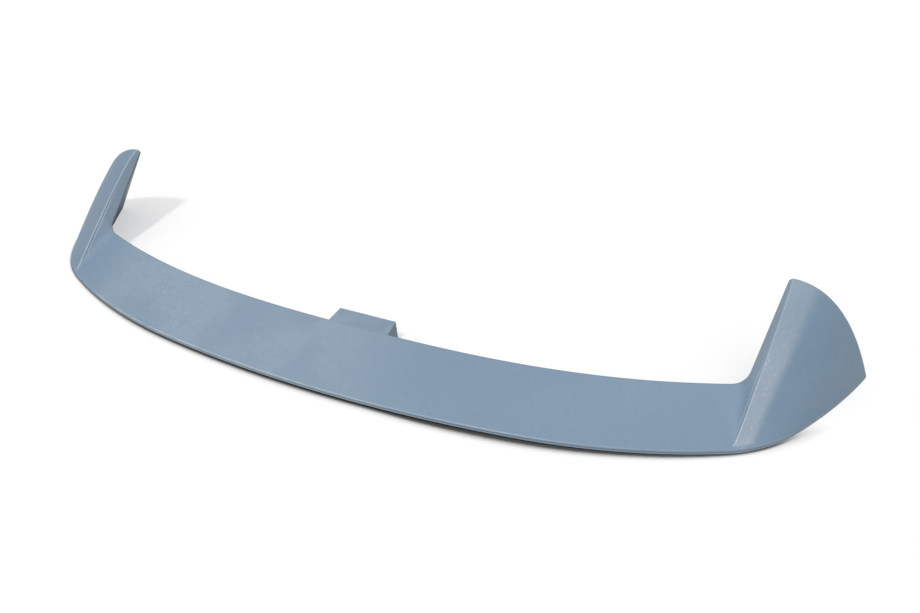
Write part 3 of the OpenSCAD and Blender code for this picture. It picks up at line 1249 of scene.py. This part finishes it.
@dataclass(frozen=True)
class Studio:
    """White floor under a wide soft light overhead, and a weak hard one from the front."""

    soft_from: Triple = (-0.05, -0.03, 0.99)
    soft_strength: float = 1.07
    soft_inner_deg: float = 34.0
    soft_outer_deg: float = 56.0
    dim_strength: float = 0.46
    sun_from: Triple = (-0.076, -0.494, 0.866)
    sun_strength: float = 1.35
    sun_deg: float = 5.0
    sun_away: float = 3.0
    paper: float = 0.9
    bounce: float = 0.47
    glow: float = 0.5
    rightward: Span = (0.05, 0.25)
    # Reach, strength and depth of the painted shadow on the floor under the front edge.
    contact: Span = (0.013, 0.03)
    contact_right: float = 1.7
    contact_range: Span = (0.54, 0.89)
    contact_samples: int = 16
    gap: float = 0.2
    gap_ends: Span = (-0.03, 0.04)
    reach: float = 12000.0

    def _sky(self) -> bpy.types.World:
        """Makes the wide soft light, in a dim sky that the camera sees as white.

        Returns:
            The world.
        """
        world = bpy.data.worlds.new("studio")
        world.use_nodes = True
        kit = NodeKit(world.node_tree)
        back = world.node_tree.nodes["Background"]
        facing = kit.add("ShaderNodeVectorMath", operation="DOT_PRODUCT")
        kit.put(kit.add("ShaderNodeTexCoord").outputs["Generated"], facing.inputs[0])
        kit.put(Vector(self.soft_from).normalized(), facing.inputs[1])
        ends = (math.cos(math.radians(a)) for a in (self.soft_outer_deg, self.soft_inner_deg))
        light = kit.blend(kit.ramp(facing.outputs["Value"], *ends), self.dim_strength, self.soft_strength)
        seen = kit.add("ShaderNodeLightPath").outputs["Is Camera Ray"]
        kit.dial(back, Color=(1, 1, 1, 1), Strength=kit.mix(Kind.NUMBER, seen, light, 1.0))
        return world

    def _unshaded_floor(self, kit: NodeKit) -> Socket:
        """Where the floor is clear of the painted shadow in the narrow gap under the front edge.

        Args:
            kit: the floor material's kit.

        Returns:
            A mask.
        """
        x, y, _ = kit.split(kit.add("ShaderNodeTexCoord").outputs["Object"])
        right = kit.ramp(x, *self.rightward)
        near = kit.add("ShaderNodeAmbientOcclusion", samples=self.contact_samples)
        kit.dial(near, Distance=kit.blend(right, *self.contact))
        hidden = kit.math("SUBTRACT", 1.0, near.outputs["AO"])
        hidden = kit.times(hidden, kit.blend(right, 1.0, self.contact_right))
        free = kit.ramp(kit.math("SUBTRACT", 1.0, hidden), *self.contact_range)
        return kit.math("MAXIMUM", free, kit.ramp(y, *self.gap_ends))

    def _floor(self) -> Object:
        """Makes the floor: white to the camera, greyer in what it throws back, clear from below, and with a
        painted shadow under the front edge.

        Returns:
            The floor object.
        """
        corners = self.reach * np.array([[-1, -1, 0], [1, -1, 0], [1, 1, 0], [-1, 1, 0]])
        floor = mesh_object("floor", corners, [(0, 1, 2, 3)], 0.0)
        paper = bpy.data.materials.new("paper")
        paper.use_nodes = True
        kit = NodeKit(paper.node_tree)
        shader = paper.node_tree.nodes["Principled BSDF"]
        seen = kit.add("ShaderNodeLightPath").outputs["Is Camera Ray"]
        unshaded_floor = self._unshaded_floor(kit)
        # Painted shadow: the floor's colour and its glow are darkened under the front edge by ambient
        # occlusion.
        shown = kit.times(kit.blend(unshaded_floor, self.gap, 1.0), self.paper * (1 - self.glow))
        kit.dial(
            shader,
            Roughness=1.0,
            Specular_IOR_Level=0.0,
            Base_Color=kit.mix(Kind.NUMBER, seen, self.bounce, shown),
            Emission_Color=(1, 1, 1, 1),
            Emission_Strength=kit.times(seen, unshaded_floor, self.glow),
            Alpha=kit.math("SUBTRACT", 1.0, kit.add("ShaderNodeNewGeometry").outputs["Backfacing"]),
        )
        floor.data.materials.append(paper)
        return floor

    def build(self) -> None:
        """Makes the floor and the lights."""
        scene = bpy.context.scene
        scene.view_settings.view_transform = "Standard"
        scene.world = self._sky()
        self._floor()
        lamp = bpy.data.lights.new("key", "SUN")
        lamp.energy, lamp.angle = self.sun_strength, math.radians(self.sun_deg)
        key = placed("key", lamp)
        way = Vector(self.sun_from).normalized()
        key.location = way * self.sun_away
        key.rotation_mode = "QUATERNION"
        key.rotation_quaternion = way.to_track_quat("Z", "Y")


def main() -> None:
    """Builds the scene and logs each piece."""
    logging.basicConfig(level=logging.INFO)
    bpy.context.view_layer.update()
    maker = Moulding()
    moulding = maker.build()
    maker.dress(moulding)
    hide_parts("spoiler")
    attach(moulding, "root")
    log.info("piece %s rides on root", moulding.name)
    Studio().build()
    PhotoCamera().build(maker.form.depth / 2)


if __name__ == "__main__":
    main()
